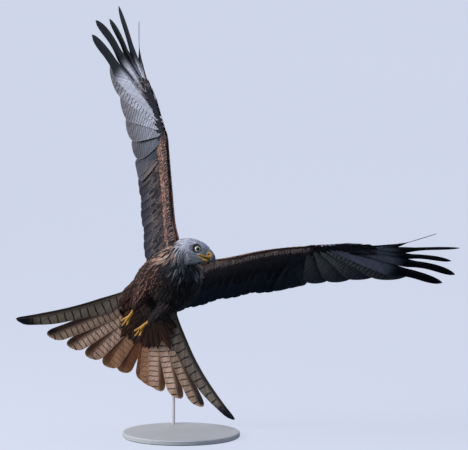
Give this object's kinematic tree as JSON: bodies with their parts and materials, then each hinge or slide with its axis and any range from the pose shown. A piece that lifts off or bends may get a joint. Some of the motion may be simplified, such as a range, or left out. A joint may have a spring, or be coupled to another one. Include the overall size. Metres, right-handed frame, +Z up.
{
  "type": "bird of prey model",
  "caption": "Life-size still model of a fork-tailed bird of prey banking in flight with its wings and tail spread, held by a rod on a round display stand.",
  "frame": {"origin": "centre of the display stand's underside, on the floor", "axes": "+Z up from the floor; the picture looks along +Y, so the bird's belly faces -Y and its left wing reaches towards +X"},
  "size_m": [1.0752, 0.5752, 1.0038],
  "materials": {
    "rufous": "soft rufous body feathers",
    "grey_head": "pale grey streaked head feathers",
    "flight": "dark stiff wing feathers",
    "tail": "barred rufous tail feathers",
    "horn": "polished dark horn",
    "cere": "yellow scaly skin",
    "iris": "glossy pale iris",
    "steel": "satin"
  },
  "bodies": {
    "root": {"trunk": "rufous", "neck": "grey_head", "head": "grey_head", "bill_upper": "horn", "bill_lower": "horn", "eye_right": "iris", "eye_left": "iris", "tail_coverts": "rufous", "wing_right_arm": "flight", "wing_right_hand": "flight", "primary_right_6": "flight", "primary_right_7": "flight", "primary_right_8": "flight", "primary_right_9": "flight", "primary_right_10": "flight", "rectrix_right_1": "tail", "rectrix_right_2": "tail", "rectrix_right_3": "tail", "rectrix_right_4": "tail", "rectrix_right_5": "tail", "rectrix_right_6": "tail", "thigh_right": "rufous", "foot_right": "cere", "claw_right_1": "horn", "claw_right_2": "horn", "claw_right_3": "horn", "claw_right_4": "horn", "wing_left_arm": "flight", "wing_left_hand": "flight", "primary_left_6": "flight", "primary_left_7": "flight", "primary_left_8": "flight", "primary_left_9": "flight", "primary_left_10": "flight", "rectrix_left_1": "tail", "rectrix_left_2": "tail", "rectrix_left_3": "tail", "rectrix_left_4": "tail", "rectrix_left_5": "tail", "rectrix_left_6": "tail", "thigh_left": "rufous", "foot_left": "cere", "claw_left_1": "horn", "claw_left_2": "horn", "claw_left_3": "horn", "claw_left_4": "horn", "stand_base": "steel", "stand_rod": "steel"}
  },
  "joints": []
}
